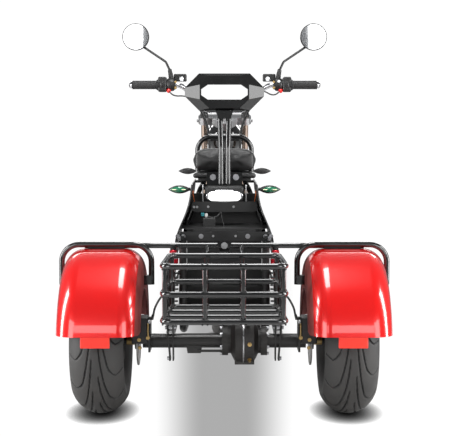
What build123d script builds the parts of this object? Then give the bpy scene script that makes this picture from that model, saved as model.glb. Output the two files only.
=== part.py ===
"""Electric three-wheeled motor scooter: two driven rear wheels, one steered front wheel.

Millimetres, +Z up, +X to the rider's right, the scooter drives towards +Y.
Lengths along Y are first counted forward from the rear axle. When a piece is written it is
moved back by half of the overall length, so the origin lies on the ground in the middle.
"""
from build123d import *
import math
import os

# ---- wheels ------------------------------------------------------------------------------
wheelbase = 1380
rear_track = 852
rear_tyre_radius = 250
rear_tyre_width = 182
rear_rim_radius = 132
front_tyre_radius = 238
front_tyre_width = 120
front_rim_radius = 152
rim_gap = 0.3
crown_flats = 4
pod_flats = 6
run_gap = 0.3
hub_reach = 40
hub_radius = 40
web_half = 8

# ---- rear axle, brakes and drive ------------------------------------------------------------
axle_tube_radius = 25
axle_tube_half = 284
stub_radius = 12
disc_x = 299
disc_radius = 85
disc_thickness = 4
pad_gap = 5
gear_centre_x = 70
gear_half_width = 78
gear_radius = 76
gear_flange_radius = 51
gear_neck_radius = 44
motor_radius = 62
shock_top = (178, 8, 566)
shock_foot = (188, 0, 296)
spring_radius = 20
spring_wire = 3.6
spring_pitch = 14
clevis_top, clevis_low = 308, 184
arm_x = 194
pivot_y = 440
pivot_z = 262
pivot_radius = 16

# ---- frame --------------------------------------------------------------------------------
rail_radius = 14
rail_z = 236
rail_x = 115
upright_x = 149
upright_y = 135
cross_radius = 11
hinge_bar_radius = 7.5
battery_low = 280
deck_half_width = 165
deck_rear, deck_front = 560, 985
deck_thickness = 34
cross_half_width = 157
cross_low, cross_high = 589, 621
cross_y = 100
sheet = 4
skin_foot_x, skin_top_x, skin_bend_z, skin_bend_run = 184, 122, 655, 35
skin_step = 8
plate_bar = (121, 681, 719)
tub_floor_z, tub_wall_y = 628, 336
arch_half, arch_top, arch_radius, arch_low = 165, 508, 105, 330
arch_rear = 154

# ---- rear bodywork, guards and basket -------------------------------------------------------
fender_radius = 322
fender_half_width = 136
fender_x = 415
fender_wall = 4
fender_shoulder = 68
fender_skirt = 70
fender_low_z = 319
fender_cut_tilt = 2.6
guard_tube = 10
guard_outer_x, guard_inner_x = 564, 253
guard_z = 587
guard_leg_low = 448
guard_bend = 60
basket_tube = 9.5
basket_post = 8
basket_rear, basket_front = -398, -100
basket_half_rear, basket_half_front = 194, 185
basket_levels = (385, 472, 560)
basket_bar_x = 60

# ---- seat and backrest ------------------------------------------------------------------------
seat_half_width = 119
seat_low, seat_high = 806, 906
seat_rear, seat_split, seat_front = 352, 520, 850
seat_base_low = 790
grab_half_width = 105
grab_top = 956
grab_tube, grab_bend = 9.5, 55
pole_x = 13
pole_spread = 3
pole_radius = 10.5
pole_low_y, pole_high_y = 311, 345
panel_half_width, panel_half_height = 148, 69
panel_cut = 53
panel_face_half = (92, 60)
panel_face_cut = 35
panel_z = 1123
panel_y = 350
panel_depth = 44
window_half_width, window_half_height = 87, 28

# ---- steering ------------------------------------------------------------------------------------
rake = 26
fork_offset = 45
stanchion_x = 88.5
stanchion_radius = 13.5
slider_radius = 21
fork_top, lower_clamp, upper_clamp = 893, 652, 858
clamp_thickness = 32
slider_top = 440
head_radius = 26
stem_radius = 14
front_axle_radius = 8
bar_radius = 11
bar_y, bar_z = 930, 1170
grip_inner, grip_outer = 283, 391
grip_radius = 17
mirror_x, mirror_z = 378, 1374
mirror_radius = 57
lamp_y, lamp_z = 1128, 945
lamp_radius = 78

rear_reach = basket_tube - basket_rear
front_reach = wheelbase + front_tyre_radius
centre_y = (front_reach - rear_reach) / 2
sides = {"left": -1, "right": 1}

os.makedirs("parts", exist_ok=True)


# ---- helpers -----------------------------------------------------------------------------------
def save(node, shape):
    """Move a finished piece to the part's own origin and write it."""
    export_step(Pos(0, -centre_y, 0) * shape, f"parts/{node}.step")


def tube(points, radius, bend=0, close=False):
    """A round bar along straight runs joined by arcs; bend is one radius or one per corner."""
    path = FilletPolyline(*points, radius=bend, close=close) if bend else Polyline(*points)
    profile = Plane(origin=path @ 0, z_dir=path % 0) * Circle(radius)
    return sweep(profile, path=path)


def rod(start, end, radius):
    """A straight round bar between two points."""
    along = Vector(*end) - Vector(*start)
    return extrude(Plane(origin=start, z_dir=along) * Circle(radius), along.length)


def block(x, y, z, radius=0):
    """A box from its three (low, high) spans, with its edges rounded."""
    centre = [(low + high) / 2 for low, high in (x, y, z)]
    spans = [abs(high - low) for low, high in (x, y, z)]
    body = Pos(*centre) * Box(*spans)
    return fillet(body.edges(), radius) if radius else body


def disc(x_low, x_high, radius, y, z):
    """A round plate or shaft whose axis runs along X."""
    return rod((x_low, y, z), (x_high, y, z), radius)


def ring_section(points):
    """Close a profile drawn as (distance along the axle, radius)."""
    return make_face(Polyline(*[(x, 0, r) for x, r in points], close=True))


def wheel_turn(profile, y, z):
    """Turn a profile in the X-Z plane about the X axis and set it on its axle."""
    return Pos(0, y, z) * revolve(profile, Axis.X)


def pair(shape):
    """The piece and its mirror image on the other side."""
    return Compound([shape, mirror(shape, Plane.YZ)])


def fork_frame(x=0, ahead=0, up=0):
    """A place on the fork: across, ahead of the stanchions, and up along them."""
    tilt = math.radians(rake)
    fork = Plane(origin=(0, wheelbase, front_tyre_radius), x_dir=(1, 0, 0),
                 z_dir=(0, -math.sin(tilt), math.cos(tilt)))
    return fork * Pos(x, ahead, up)


def fork_point(x=0, ahead=0, up=0):
    """The same place as a point."""
    return fork_frame(x, ahead, up).position


# ---- wheels --------------------------------------------------------------------------------------
def tyre(width, radius, bead_radius, y, z, x):
    """A round-crowned tyre turned from short flats: crown, bulging walls and beads."""
    half = width / 2
    wall_r = bead_radius + 0.5 * (radius - bead_radius)
    bead = 0.72 * half
    sag = radius - wall_r
    crown_arc = (half ** 2 + sag ** 2) / (2 * sag)
    reach = math.asin(half / crown_arc)
    turns = [reach * step / crown_flats for step in range(-crown_flats, crown_flats + 1)]
    crown = [(crown_arc * math.sin(t), radius - crown_arc * (1 - math.cos(t))) for t in turns]
    walls = [(0.965 * half, (3 * wall_r + bead_radius) / 4), (0.86 * half, (wall_r + 3 * bead_radius) / 4)]
    right = walls + [(bead, bead_radius)]
    section = crown + right + [(-across, up) for across, up in reversed(right)]
    return Pos(x, 0, 0) * wheel_turn(ring_section(section), y, z)


def rim(width, bead_radius, hub_radius, hub_inner, hub_outer, x, y, z, bore):
    """A wheel: barrel with lips, a dished web and a hub from hub_inner to hub_outer."""
    half = 0.36 * width
    outer = bead_radius - rim_gap
    barrel = ring_section([(-half, outer - 8), (-half, outer), (half, outer), (half, outer - 8)])
    web = ring_section([(-web_half, bore), (-web_half, outer - 8), (web_half, outer - 8), (web_half, bore)])
    hub = ring_section([(hub_inner - x, bore), (hub_inner - x, hub_radius),
                        (hub_outer - x, hub_radius), (hub_outer - x, bore)])
    turned = revolve(barrel, Axis.X) + revolve(web, Axis.X) + revolve(hub, Axis.X)
    return Pos(x, y, z) * turned


def make_rear_wheels():
    """Tyre, wheel and brake disc with its stub shaft, on each end of the axle."""
    wheel_x = rear_track / 2
    for name, side in sides.items():
        tyre_shape = tyre(rear_tyre_width, rear_tyre_radius, rear_rim_radius, 0, rear_tyre_radius, wheel_x)
        rim_shape = rim(rear_tyre_width, rear_rim_radius, hub_radius, wheel_x - 60, wheel_x + hub_reach, wheel_x,
                        0, rear_tyre_radius, stub_radius + run_gap)
        shaft = disc(axle_tube_half - 44, wheel_x + hub_reach, stub_radius, 0, rear_tyre_radius)
        rotor = disc(disc_x - disc_thickness / 2, disc_x + disc_thickness / 2, disc_radius, 0, rear_tyre_radius)
        carrier = disc(disc_x, disc_x + 12, 30, 0, rear_tyre_radius)
        nut = disc(wheel_x + hub_reach, wheel_x + hub_reach + 12, 18, 0, rear_tyre_radius)
        shapes = {"rear_tyre": tyre_shape, "rear_wheel": rim_shape, "rear_disc": shaft + rotor + carrier + nut}
        for node, shape in shapes.items():
            save(f"{node}_{name}", shape if side > 0 else mirror(shape, Plane.YZ))


def make_front_wheel():
    """Narrower front tyre and wheel, with a disc on its left, turning on the front axle."""
    z = front_tyre_radius
    save("front_tyre", tyre(front_tyre_width, front_tyre_radius, front_rim_radius, wheelbase, z, 0))
    wheel = rim(front_tyre_width, front_rim_radius, 30, -52, 52, 0, wheelbase, z, front_axle_radius + run_gap)
    save("front_wheel", wheel)
    rotor = disc(-58, -54, 90, wheelbase, z) + disc(-54, -52.3, 30, wheelbase, z)
    save("front_disc", rotor - disc(-60, -50, front_axle_radius + run_gap, wheelbase, z))


# ---- rear axle -----------------------------------------------------------------------------------
def make_rear_axle():
    """Axle tube with trailing arms, the gear housing with end flanges, and the motor."""
    z = rear_tyre_radius
    axle = disc(-axle_tube_half, axle_tube_half, axle_tube_radius, 0, z)
    axle += disc(-pivot_half(), pivot_half(), pivot_radius, pivot_y, pivot_z)
    for side in (-1, 1):
        axle += block((side * arm_x - 12, side * arm_x + 12), (0, pivot_y), (z - 20, z + 20))
        axle += blade(side)
        axle += anchor(side)
        axle -= disc(side * (axle_tube_half - 46), side * (axle_tube_half + 1), stub_radius + run_gap, 0, z)
    bracket = Polyline((-135, 0, z), (-74, 0, z), (-82, 0, 209), (-128, 0, 209), close=True)
    axle += Pos(0, -14, 0) * extrude(make_face(bracket), 6, dir=(0, -1, 0))
    axle += block((-90, gear_centre_x - gear_half_width), (-26, -20), (214, 222))
    gear_low, gear_high = gear_centre_x - gear_half_width, gear_centre_x + gear_half_width
    axle -= disc(gear_low - run_gap, gear_high + run_gap, gear_radius + 12, 0, z)
    save("rear_axle", axle)
    flange, neck, bulge = gear_flange_radius, gear_neck_radius, gear_radius
    half_section = [(0, bulge), (32, bulge - 2), (40, bulge - 16), (48, neck), (57, neck), (57, flange)]
    half_section += [(gear_half_width, flange), (gear_half_width, 0)]
    section = half_section + [(-across, radius) for across, radius in reversed(half_section[1:])]
    housing = Pos(gear_centre_x, 0, z) * revolve(ring_section(section), Axis.X)
    housing += block((gear_centre_x - 34, gear_centre_x + 34), (-30, 30), (z - gear_radius - 3, z - gear_radius + 12))
    save("gear_housing", housing)
    motor_y = gear_radius + motor_radius
    motor = disc(gear_low + 4, gear_high - 20, motor_radius, motor_y, z)
    motor = fillet(motor.edges(), 6)
    save("drive_motor", motor - disc(gear_low - 9, gear_high + 9, gear_radius + run_gap, 0, z))


def pivot_half():
    """Half the length of the trailing arms' pivot tube."""
    return arm_x + 12


def blade(side):
    """A clevis of two plates that draw together below the axle tube, for the foot of the shock."""
    eye_x = shock_foot[0]
    plates = []
    for top_x, low_x in ((eye_x + 8, eye_x - 2), (eye_x - 12, eye_x - 13)):
        outline = Polyline((top_x, 0, clevis_top), (top_x + 5, 0, clevis_top), (low_x + 5, 0, clevis_low),
                           (low_x, 0, clevis_low), close=True)
        plates.append(Pos(0, 14, 0) * extrude(make_face(outline), 44, dir=(0, -1, 0)))
    clevis = plates[0] + plates[1]
    return clevis if side > 0 else mirror(clevis, Plane.YZ)


def anchor(side):
    """The flange that carries the caliper at the end of the axle tube."""
    plate = block((255, 262), (-60, 18), (rear_tyre_radius - 30, rear_tyre_radius + 70))
    return plate if side > 0 else mirror(plate, Plane.YZ)


def make_calipers():
    """A block inboard of each disc with a bridge over the rim of the disc."""
    inner = disc_x - disc_thickness / 2 - pad_gap
    outer = disc_x + disc_thickness / 2 + pad_gap
    body = block((262, outer + 10), (-104, -30), (258, 347), 4)
    slot = disc(inner, outer, disc_radius + pad_gap, 0, rear_tyre_radius)
    caliper = body - slot - block((outer - 1, outer + 20), (-80, 0), (240, 350))
    port = rod((268, -66, 340), (246, -66, 340), 6)
    save("calipers", pair(caliper + port))


def make_shocks():
    """Two shocks: damper body, rod, eye, adjuster cap and collar, with a coil round each."""
    foot, top = Vector(*shock_foot), Vector(*shock_top)
    along = (top - foot).normalized()
    length = (top - foot).length

    def stretch(low, high, radius):
        return rod(tuple(foot + along * low), tuple(foot + along * high), radius)

    collar = length - 48
    body = stretch(20, collar, 12) + stretch(collar, length, 7)
    body += stretch(collar, collar + 26, 18) + stretch(length - 14, length, 11.5)
    body += stretch(24, 30, spring_radius + spring_wire) + stretch(0, 24, 5)
    body += disc(foot.X - 6, foot.X + 6, 11, foot.Y, foot.Z)
    save("shocks", pair(body))
    low, high = 30 + run_gap + spring_wire, collar - run_gap - spring_wire
    coil_path = Helix(pitch=spring_pitch, height=high - low, radius=spring_radius)
    wire = Plane(origin=coil_path @ 0, z_dir=coil_path % 0) * RegularPolygon(spring_wire, 8)
    coil = sweep(wire, path=coil_path, is_frenet=True)
    place = Plane(origin=tuple(foot + along * low), x_dir=(0, 1, 0), z_dir=along)
    save("shock_springs", pair(place * coil))


# ---- frame --------------------------------------------------------------------------------------
def make_main_frame():
    """Head tube, down tube, two lower rails that turn up into the rear uprights, and cross tubes."""
    head = fork_frame(0, -fork_offset, 684) * Cylinder(head_radius, 172, align=(Align.CENTER, Align.CENTER, Align.MIN))
    frame = head
    frame += tube([tuple(fork_point(0, -fork_offset, 800)), (0, 915, 700), (0, 925, 420), (0, 960, rail_z)], 22, 90)
    for side in (-1, 1):
        rail = [(side * rail_x, 975, rail_z), (side * rail_x, 560, rail_z), (side * upright_x, 450, rail_z),
                (side * upright_x, upright_y, 262), (side * upright_x, upright_y, cross_high - 10)]
        frame += tube(rail, rail_radius, [90, 90, 70])
        lug = block((side * 158, side * 172), (pivot_y - 26, pivot_y + 26), (rail_z, pivot_z + 26))
        frame += lug
        seat_stay = [(side * upright_x, upright_y + 4, 560), (side * 138, 300, 640), (side * 90, 400, 765),
                     (side * 80, 470, 779), (side * 80, 880, 779)]
        frame += tube(seat_stay, 9, [60, 40, 60])
        frame += rod((side * 138, 300, 640), (side * (skin_inner(647) - run_gap), 300, 640), 6)
        frame += rod((side * 80, 700, 772), (side * (skin_inner(779) - run_gap), 700, 772), 6)
    frame += rod((-rail_x, 960, rail_z), (rail_x, 960, rail_z), cross_radius)
    frame += rod((-rail_x, 600, rail_z), (rail_x, 600, rail_z), cross_radius)
    frame += rod((-80, 870, 779), (80, 870, 779), hinge_bar_radius)
    frame += rod((0, 870, 779), (0, 935, 774), 16)
    for y in (260, 330):
        cradle_z = battery_low - cross_radius - run_gap
        frame += rod((-upright_x, y, cradle_z), (upright_x, y, cradle_z), cross_radius)
    frame += rod((-90, 400, 765), (90, 400, 765), cross_radius)
    frame += rod((-upright_x, upright_y, 345), (upright_x, upright_y, 345), cross_radius)
    frame -= disc(-pivot_half() - 1, pivot_half() + 1, pivot_radius + run_gap, pivot_y, pivot_z)
    bore = fork_frame(0, -fork_offset, 600) * Cylinder(stem_radius + run_gap, 400, align=(Align.CENTER, Align.CENTER, Align.MIN))
    save("main_frame", frame - bore)


def make_deck():
    """The foot board over the lower rails, with a raised front lip."""
    low = rail_z + rail_radius + run_gap
    deck = block((-deck_half_width, deck_half_width), (deck_rear, deck_front), (low, low + deck_thickness), 12)
    notch = Pos(0, 985, 300) * Box(58, 130, 200)
    save("foot_deck", deck - notch)


def make_battery_box():
    """Battery and controller in one box, with an arched inner guard over its rear end."""
    body = block((-145, 145), (206, 520), (battery_low, arch_top))
    body = fillet(body.edges().filter_by(Axis.Y).group_by(Axis.Z)[-1], arch_radius - 15)
    hood = block((-arch_half, arch_half), (arch_rear, 214), (arch_low, arch_top))
    hood = fillet(hood.edges().filter_by(Axis.Y).group_by(Axis.Z)[-1], arch_radius)
    inner_half, inner_top = arch_half - 6, arch_top - 6
    hollow = block((-inner_half, inner_half), (arch_rear - 10, 206), (arch_low - 60, inner_top))
    hollow = fillet(hollow.edges().filter_by(Axis.Y).group_by(Axis.Z)[-1], arch_radius - 6)
    save("battery_box", body + (hood - hollow))


def skin_x(z):
    """Distance of a body side's outer face from the middle, at a height: an S from foot to top."""
    share = 1 / (1 + math.exp((z - skin_bend_z) / skin_bend_run))
    return skin_top_x + (skin_foot_x - skin_top_x) * share


def skin_inner(z):
    """Distance of a body side's inner face from the middle, at a height."""
    return skin_x(z) - 1.1 * sheet


def skin_heights(low, high):
    """Heights at which the S of a body side is drawn, with both ends."""
    return [low] + [z for z in range(500, 830, skin_step) if low < z < high] + [high]


def make_side_panels():
    """Body sides that stand up beside the seat and flare out below it, one curved skin on each side."""
    heights = skin_heights(500, 812)
    outer = [(skin_x(z), 0, z) for z in heights]
    inner = [(skin_inner(z), 0, z) for z in reversed(heights)]
    section = make_face(Polyline(*outer, *inner, close=True))
    skin = extrude(section, 1000, dir=(0, 1, 0))
    outline = FilletPolyline((0, 95, 598), (0, 165, 712), (0, 285, 780), (0, 780, 780), (0, 800, 713),
                             (0, 720, 526), (0, 330, 507), (0, 150, 562), radius=18, close=True)
    save("side_panels", pair(skin & extrude(make_face(outline), 400, dir=(1, 0, 0))))


def between_skins(low, high):
    """The space between the body sides, from one height to another, as a long solid."""
    right = [(skin_inner(z) - run_gap, 0, z) for z in skin_heights(low, high)]
    left = [(-x, 0, z) for x, _, z in reversed(right)]
    return extrude(make_face(Polyline(*right, *left, close=True)), 900, dir=(0, 1, 0))


def make_tail():
    """Rear cross channel with its blank plate, the dark tub behind it and the tail lamp panel."""
    channel = block((-cross_half_width, cross_half_width), (cross_y, upright_y - rail_radius - 0.3), (cross_low, cross_high))
    channel -= block((-cross_half_width - 1, cross_half_width + 1), (cross_y + sheet, 200), (cross_low + sheet, cross_high - sheet))
    save("tail_channel", channel)
    save("blank_plate", block((-45, 45), (cross_y - 3, cross_y - 0.3), (588, 626)))
    floor_z, wall_y = tub_floor_z, tub_wall_y
    tub = block((-180, 180), (cross_y + 24, wall_y), (floor_z, floor_z + sheet))
    tub += block((-180, 180), (wall_y - sheet, wall_y), (floor_z, 745))
    tub += block((-112, 112), (cross_y + 24, cross_y + 50), (floor_z - 24, floor_z + sheet))
    tub &= between_skins(floor_z - 30, 790)
    tub += block((-79, -33), (190, 230), (floor_z, floor_z + 34), 3)
    bar_half, bar_low, bar_high = plate_bar
    bar = block((-bar_half, bar_half), (256, 262), (bar_low, bar_high))
    bar = fillet(bar.edges().filter_by(Axis.Y), 14)
    hood = block((-72, 72), (262, 350), (713, 776), 14)
    link = block((-70, 70), (258, wall_y), (bar_high - 8, bar_high - 2))
    tray = tub + bar + hood + link
    for side in (-1, 1):
        tray += block(sorted((side * 112, side * 118)), (258, wall_y), (bar_low + 4, bar_high - 4))
        tray -= rod((side * upright_x, upright_y, 500), (side * upright_x, upright_y, cross_high + 20), rail_radius + 0.3)
        stay = [(side * upright_x, upright_y + 4, 560), (side * 138, 300, 640), (side * 90, 400, 765), (side * 80, 470, 779)]
        tray -= tube(stay, 9.3, [60, 40])
    save("tail_tray", tray)
    lens = extrude(Plane.XZ * Pos(0, 739, 0) * SlotOverall(121, 35), 14)
    save("tail_lamp", Pos(0, 261.7, 0) * fillet(lens.edges().group_by(Axis.Y)[0], 5))


def lamp_pod(length, radius, y, z, x):
    """A slim pod, pointed at both ends, lying across the scooter."""
    steps = [step / pod_flats for step in range(-pod_flats, pod_flats + 1)]
    outline = [(length / 2 * share, radius * (1 - share ** 2)) for share in steps]
    return Pos(x, y, z) * revolve(ring_section(outline), Axis.X)


def make_rear_indicators():
    """Two leaf-shaped lamps on short arms beside the tail lamp, each with a long lens."""
    x, y, z = 168, 283, 763
    pod = lamp_pod(82, 15, y, z, x)
    lens = lamp_pod(70, 12.5, y - 5, z, x + 2)
    behind = block((x - 60, x + 60), (y - 40, y - 7), (z - 30, z + 30))
    ahead = block((x - 60, x + 60), (y - 7 + run_gap, y + 40), (z - 30, z + 30))
    arm = rod((skin_x(z) + 1.2, y + 3, z), (x - 30, y + 3, z), 6)
    save("rear_indicators", pair((pod & ahead) + arm))
    save("indicator_lenses", pair(lens & behind))


# ---- rear guards -----------------------------------------------------------------------------------
def make_fenders():
    """An arched shell over each rear wheel with round shoulders and short skirts."""
    half, crown = fender_half_width, fender_radius
    skirt = crown - fender_shoulder - fender_skirt
    outline = Polyline((-half, 0, skirt), (-half, 0, crown), (half, 0, crown), (half, 0, skirt), close=True)
    solid_section = fillet(make_face(outline).vertices().group_by(Axis.Z)[-1], fender_shoulder)
    inner = make_face(Polyline((-half + fender_wall, 0, skirt - 1), (-half + fender_wall, 0, crown - fender_wall),
                               (half - fender_wall, 0, crown - fender_wall), (half - fender_wall, 0, skirt - 1), close=True))
    inner = fillet(inner.vertices().group_by(Axis.Z)[-1], fender_shoulder - fender_wall)
    shell = revolve(solid_section - inner, Axis.X)
    below = Box(2 * half + 20, 900, 800, align=(Align.CENTER, Align.CENTER, Align.MAX))
    rear_y = -fender_radius * 0.95
    shell -= Pos(0, rear_y, fender_low_z - rear_tyre_radius) * Rot(-fender_cut_tilt, 0, 0) * Pos(0, -rear_y, 0) * below
    save("rear_fenders", pair(Pos(fender_x, 0, rear_tyre_radius) * shell))


def make_reflectors():
    """A flat red reflector on a tab under each fender's rear edge."""
    y = -math.sqrt((fender_radius - fender_wall) ** 2 - (fender_low_z - rear_tyre_radius) ** 2)
    plate = block((369, 464), (y, y + 8), (fender_low_z - 36, fender_low_z + 22), 3)
    shell_path = disc(200, 600, fender_radius + 20, 0, rear_tyre_radius)
    inside = disc(200, 600, fender_radius - fender_wall - run_gap, 0, rear_tyre_radius)
    below = Pos(0, 0, fender_low_z - 300 - run_gap) * Box(2000, 2000, 600)
    save("reflectors", pair((plate & inside) + (plate & below & shell_path)))


def make_guards():
    """A hoop over each fender, joined by one long crossbar with its centre lug and rear brackets."""
    bar_z = guard_z - 5
    frame = rod((-486, 18, bar_z), (486, 18, bar_z), guard_tube)
    for side in (-1, 1):
        hoop = [(side * guard_outer_x, 0, guard_leg_low), (side * guard_outer_x, 0, guard_z),
                (side * guard_inner_x, 0, guard_z), (side * guard_inner_x, 0, guard_leg_low)]
        frame += tube(hoop, guard_tube, guard_bend)
        saddle_x = sorted((side * 345, side * 472))
        frame += block(saddle_x, (-8, 20), (rear_tyre_radius + fender_radius + run_gap, guard_z - 6))
        inner_tab = sorted((side * guard_inner_x, side * (fender_x - fender_half_width - run_gap)))
        frame += block(inner_tab, (-12, 12), (guard_leg_low, guard_leg_low + 32))
        outer_tab = sorted((side * guard_outer_x, side * (fender_x + fender_half_width + run_gap)))
        frame += block(outer_tab, (-12, 12), (guard_leg_low, guard_leg_low + 32))
        arm = sorted((side * 140, side * 152))
        frame += block(arm, (20, cross_y - run_gap), (cross_low, cross_low + 22))
        shock_tab = sorted((side * 168, side * 188))
        frame += block(shock_tab, (0, 26), (shock_top[2] + 1, guard_z))
    lug = Polyline((-26, 0, 598), (26, 0, 598), (14, 0, 554), (-14, 0, 554), close=True)
    frame += Pos(0, 10, 0) * extrude(make_face(lug), 6, dir=(0, -1, 0))
    save("guard_frame", frame)


def make_basket():
    """A wire basket: three rings, corner posts, and bars that run down, under and up again."""
    low, middle, high = basket_levels
    rings = []
    for level in basket_levels:
        corners = [(-basket_half_rear, basket_rear, level), (basket_half_rear, basket_rear, level),
                   (basket_half_front, basket_front, level), (-basket_half_front, basket_front, level)]
        rings.append(tube(corners, basket_tube, 26, close=True))
    basket = rings[0] + rings[1] + rings[2]
    slim = basket_post
    for x in (-basket_bar_x, basket_bar_x):
        bar = [(x, basket_rear, high), (x, basket_rear, low), (x, basket_front, low), (x, basket_front, high)]
        basket += tube(bar, slim, 20)
        hanger = [(x, basket_front, high), (x, -40, high), (x, 14, guard_z - 10)]
        basket += tube(hanger, slim, 30)
    for y in (-300, -200):
        half = basket_half_rear + (basket_half_front - basket_half_rear) * (y - basket_rear) / (basket_front - basket_rear)
        bar = [(-half, y, high), (-half, y, low), (half, y, low), (half, y, high)]
        basket += tube(bar, slim, 20)
    for x, y in ((basket_half_rear - 8, basket_rear + 8), (basket_half_front - 8, basket_front - 8)):
        for side in (-1, 1):
            basket += rod((side * x, y, low), (side * x, y, high), slim)
    crossbar = rod((-486, 18, guard_z - 5), (486, 18, guard_z - 5), guard_tube + run_gap)
    save("basket", basket - crossbar)


# ---- seat and backrest ------------------------------------------------------------------------------
def cushion(half, y_low, y_high, z_low, z_high, radius):
    """A plain padded block with round edges."""
    return block((-half, half), (y_low, y_high), (z_low, z_high), radius)


def make_seat():
    """Two cushions on one tray that tips up on a front hinge, with the grab hoop between them."""
    save("rear_cushion", cushion(seat_half_width, seat_rear, seat_split - 14, seat_low, seat_high, 20))
    save("front_cushion", cushion(104, seat_split + 14, seat_front, seat_low, seat_high - 30, 24))
    tray = block((-100, 100), (seat_rear + 14, seat_front - 18), (seat_base_low, seat_low))
    knuckle = disc(-40, 40, 9, seat_front + 8, seat_base_low + 6)
    knuckle += block((-40, 40), (seat_front - 30, seat_front + 8), (seat_base_low + 2, seat_base_low + 12))
    knuckle -= disc(-60, 60, 5 + run_gap, seat_front + 8, seat_base_low + 6)
    save("seat_tray", tray + knuckle)
    hoop = [(-grab_half_width, seat_split, seat_low + 0.3), (-grab_half_width, seat_split, grab_top),
            (grab_half_width, seat_split, grab_top), (grab_half_width, seat_split, seat_low + 0.3)]
    save("grab_hoop", tube(hoop, grab_tube, grab_bend))
    pin = disc(-58, 58, 5, seat_front + 8, seat_base_low + 6)
    for side in (-1, 1):
        ear = sorted((side * 46, side * 54))
        pin += block(ear, (seat_front + 1, seat_front + 20), (779, seat_base_low + 14))
    rails = rod((-80, 870, 779), (80, 870, 779), hinge_bar_radius + run_gap)
    save("seat_hinge", pin - rails)


def make_backrest():
    """Bracket plate, two close poles, the flared collar and the eight-sided back panel."""
    foot = 765 + cross_radius + run_gap
    bracket = block((-66.5, 66.5), (322, 328), (foot, 825)) + block((-66.5, 66.5), (322, 410), (foot, foot + 6))
    poles = None
    for x in (-pole_x, pole_x):
        top_x = x + math.copysign(pole_spread, x)
        pole = tube([(x, pole_low_y, 781), (x, pole_low_y, 900), (top_x, pole_high_y, 1044)], pole_radius, 200)
        poles = pole if poles is None else poles + pole
    poles += block((-pole_x - 8, pole_x + 8), (pole_low_y - 4, 324), (784, 800)) + bracket
    collar = loft([Pos(0, pole_high_y - 7, 1024) * Rectangle(46, 34), Pos(0, pole_high_y, 1053.7) * Rectangle(67, 42)])
    save("backrest_frame", poles + collar)
    save("back_panel", back_panel())


def octagon(half_width, half_height, cut_x, cut_z):
    """An eight-sided outline in the X-Z plane."""
    points = []
    for sx, sz in ((1, 1), (-1, 1), (-1, -1), (1, -1)):
        ends = [(sx * half_width, 0, sz * (half_height - cut_z)), (sx * (half_width - cut_x), 0, sz * half_height)]
        points += ends if sx * sz > 0 else ends[::-1]
    return Polyline(*points, close=True)


def back_panel():
    """Bevelled eight-sided frame round an open window."""
    outer = make_face(octagon(panel_half_width, panel_half_height, panel_cut, panel_cut))
    inner = make_face(octagon(*panel_face_half, panel_face_cut, panel_face_cut - 2))
    slab = extrude(outer, panel_depth - 14, dir=(0, 1, 0))
    bevel = loft([outer, Pos(0, -14, 0) * inner])
    window = extrude(make_face(octagon(window_half_width, window_half_height, 25, 17)), 200, dir=(0, 1, 0), both=True)
    return Pos(0, panel_y - 8, panel_z) * (slab + bevel - window)


# ---- steering ------------------------------------------------------------------------------------
def make_fork():
    """Two clamps on one stem, chromed stanchions, dark sliders and the front axle."""
    holes = None
    clamps = fork_frame(0, -fork_offset, lower_clamp) * Cylinder(
        stem_radius, fork_top - lower_clamp, align=(Align.CENTER, Align.CENTER, Align.MIN))
    for low in (lower_clamp, upper_clamp):
        plate = Rectangle(2 * stanchion_x, 40) + Pos(0, -fork_offset) * Circle(30)
        for side in (-1, 1):
            plate += Pos(side * stanchion_x, 0) * Circle(25)
        plate += make_face(Polyline((-70, 0), (70, 0), (28, -fork_offset - 6), (-28, -fork_offset - 6), close=True))
        clamps += fork_frame(0, 0, low) * extrude(plate, clamp_thickness)
    for side in (-1, 1):
        hole = fork_frame(side * stanchion_x, 0, slider_top) * Cylinder(
            stanchion_radius + run_gap, 600, align=(Align.CENTER, Align.CENTER, Align.MIN))
        holes = hole if holes is None else holes + hole
    clamps -= holes
    stanchion = fork_frame(stanchion_x, 0, slider_top) * Cylinder(
        stanchion_radius, fork_top - slider_top, align=(Align.CENTER, Align.CENTER, Align.MIN))
    save("fork_stanchions", pair(stanchion))
    slider = fork_frame(stanchion_x, 0, -26) * Cylinder(
        slider_radius, slider_top + 26, align=(Align.CENTER, Align.CENTER, Align.MIN))
    slider -= disc(0, 200, front_axle_radius + run_gap, wheelbase, front_tyre_radius)
    axle = disc(-124, 124, front_axle_radius, wheelbase, front_tyre_radius)
    for side in (-1, 1):
        nut = sorted((side * (stanchion_x + slider_radius + 0.3), side * 122))
        axle += disc(nut[0], nut[1], 14, wheelbase, front_tyre_radius)
        spacer = sorted((side * 60, side * (stanchion_x - slider_radius - 0.3)))
        axle += disc(spacer[0], spacer[1], 13, wheelbase, front_tyre_radius)
    save("fork_lowers", Compound([pair(slider), axle]))
    return clamps


def make_front_fender():
    """A short dark mudguard close over the front tyre, held by two stays."""
    radius = front_tyre_radius + 22
    half = stanchion_x - slider_radius - run_gap
    outline = make_face(Polyline((-half, 0, radius - 42), (-half, 0, radius), (half, 0, radius),
                                 (half, 0, radius - 42), close=True))
    outline = fillet(outline.vertices().group_by(Axis.Z)[-1], 34)
    half -= 3
    inner = make_face(Polyline((-half, 0, radius - 50), (-half, 0, radius - 3), (half, 0, radius - 3),
                               (half, 0, radius - 50), close=True))
    inner = fillet(inner.vertices().group_by(Axis.Z)[-1], 31)
    shell = revolve(outline - inner, Axis.X)
    keep = make_face(Polyline((0, 0, 0), (0, 320, 250), (0, 200, 420), (0, -320, 420), (0, -420, 100), close=True))
    shell &= extrude(keep, 200, dir=(1, 0, 0), both=True)
    save("front_fender", Pos(0, wheelbase, front_tyre_radius) * shell)


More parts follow.
